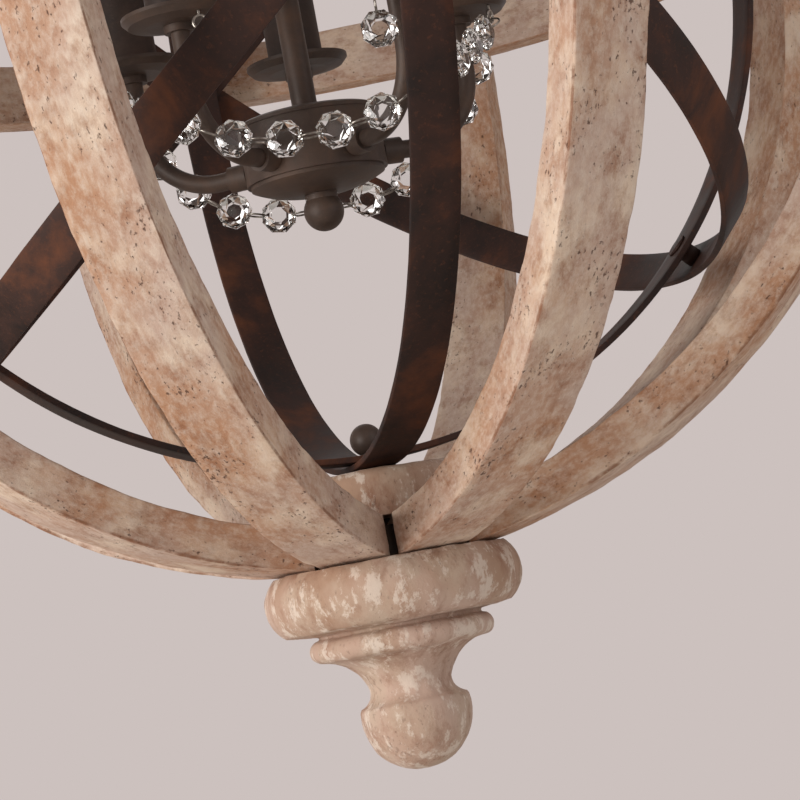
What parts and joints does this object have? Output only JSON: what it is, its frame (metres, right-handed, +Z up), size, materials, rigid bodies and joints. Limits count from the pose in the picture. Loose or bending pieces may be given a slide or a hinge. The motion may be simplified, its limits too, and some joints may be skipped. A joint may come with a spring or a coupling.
{
  "type": "orb chandelier",
  "caption": "Open wooden orb of bent ribs round an iron hoop cage, with candle arms, drip pans, glass bead strands, turned finial, chain and ceiling canopy.",
  "frame": {"origin": "on the ceiling plane, at the middle of the bracket's two slots", "axes": "+Z up; -Y towards the viewer of the picture's side; X to the viewer's right, along the bracket"},
  "size_m": [0.4906, 0.4906, 0.8201],
  "materials": {
    "bleached_wood": "bleached, dry and cracked",
    "limed_wood": "limed and rough",
    "rusty_iron": "brown rust, waxed",
    "dark_iron": "satin dark brown",
    "aged_iron_sleeve": "matt dark brown",
    "socket_plastic": "matt black",
    "steel_wire": "bright",
    "plated_steel": "dull zinc",
    "cut_glass": "clear, faceted"
  },
  "bodies": {
    "ceiling_mount": {"ceiling_bracket": "plated_steel", "canopy_nipple": "plated_steel", "canopy": "dark_iron", "collar_loop": "dark_iron"},
    "link_1": {"chain_link_1": "dark_iron"},
    "link_2": {"chain_link_2": "dark_iron"},
    "link_3": {"chain_link_3": "dark_iron"},
    "link_4": {"chain_link_4": "dark_iron"},
    "orb": {"wood_rib_1": "bleached_wood", "wood_rib_2": "bleached_wood", "wood_rib_3": "bleached_wood", "wood_rib_4": "bleached_wood", "wood_rib_5": "bleached_wood", "wood_rib_6": "bleached_wood", "wood_rib_7": "bleached_wood", "wood_rib_8": "bleached_wood", "equator_band": "bleached_wood", "rib_screws": "plated_steel", "lower_clamp_disc": "bleached_wood", "upper_clamp_disc": "bleached_wood", "lower_finial": "limed_wood", "upper_cap": "limed_wood", "hoop_vertical_a": "rusty_iron", "hoop_vertical_b": "rusty_iron", "hoop_tilted_a": "rusty_iron", "hoop_tilted_b": "rusty_iron", "hoop_rivets": "dark_iron", "lower_ball_nut": "dark_iron", "lower_stud": "dark_iron", "centre_rod": "dark_iron", "rod_nuts": "dark_iron", "hub_cup": "dark_iron", "hub_cover": "dark_iron", "hub_base": "dark_iron", "hub_finial": "dark_iron", "arm_1": "dark_iron", "arm_2": "dark_iron", "arm_3": "dark_iron", "arm_4": "dark_iron", "arm_5": "dark_iron", "arm_nuts": "dark_iron", "drip_pan_1": "dark_iron", "drip_pan_2": "dark_iron", "drip_pan_3": "dark_iron", "drip_pan_4": "dark_iron", "drip_pan_5": "dark_iron", "candle_sleeve_1": "aged_iron_sleeve", "candle_sleeve_2": "aged_iron_sleeve", "candle_sleeve_3": "aged_iron_sleeve", "candle_sleeve_4": "aged_iron_sleeve", "candle_sleeve_5": "aged_iron_sleeve", "lamp_sockets": "socket_plastic", "strand_hooks": "steel_wire", "top_loop": "dark_iron"},
    "front_strand": {"crystal_strand_front": "cut_glass"},
    "rear_strand": {"crystal_strand_rear": "cut_glass"},
    "drop_left": {"crystal_drop_left": "cut_glass"},
    "drop_right": {"crystal_drop_right": "cut_glass"}
  },
  "joints": [
    {"name": "link_1_swing", "type": "hinge", "parent": "ceiling_mount", "child": "link_1", "pos_m": [0, 0, -0.06], "axis": [1, 0, 0], "range_deg": [-20, 20]},
    {"name": "link_2_swing", "type": "hinge", "parent": "link_1", "child": "link_2", "pos_m": [0, 0, -0.0894], "axis": [0, 1, 0], "range_deg": [-20, 20]},
    {"name": "link_3_swing", "type": "hinge", "parent": "link_2", "child": "link_3", "pos_m": [0, 0, -0.1191], "axis": [1, 0, 0], "range_deg": [-20, 20]},
    {"name": "link_4_swing", "type": "hinge", "parent": "link_3", "child": "link_4", "pos_m": [0, 0, -0.1488], "axis": [0, 1, 0], "range_deg": [-20, 20]},
    {"name": "orb_swing", "type": "hinge", "parent": "link_4", "child": "orb", "pos_m": [0, 0, -0.1785], "axis": [1, 0, 0], "range_deg": [-20, 20]},
    {"name": "front_strand_swing", "type": "hinge", "parent": "orb", "child": "front_strand", "pos_m": [0, 0.01094, -0.5255], "axis": [1, 0, 0], "range_deg": [-9, 0]},
    {"name": "rear_strand_swing", "type": "hinge", "parent": "orb", "child": "rear_strand", "pos_m": [0, 0.03573, -0.5255], "axis": [1, 0, 0], "range_deg": [-2, 12]},
    {"name": "drop_left_swing", "type": "hinge", "parent": "orb", "child": "drop_left", "pos_m": [-0.03352, -0.07349, -0.5255], "axis": [1, 0, 0], "range_deg": [-20, 20]},
    {"name": "drop_right_swing", "type": "hinge", "parent": "orb", "child": "drop_right", "pos_m": [0.03352, -0.07349, -0.5255], "axis": [1, 0, 0], "range_deg": [-20, 20]}
  ]
}
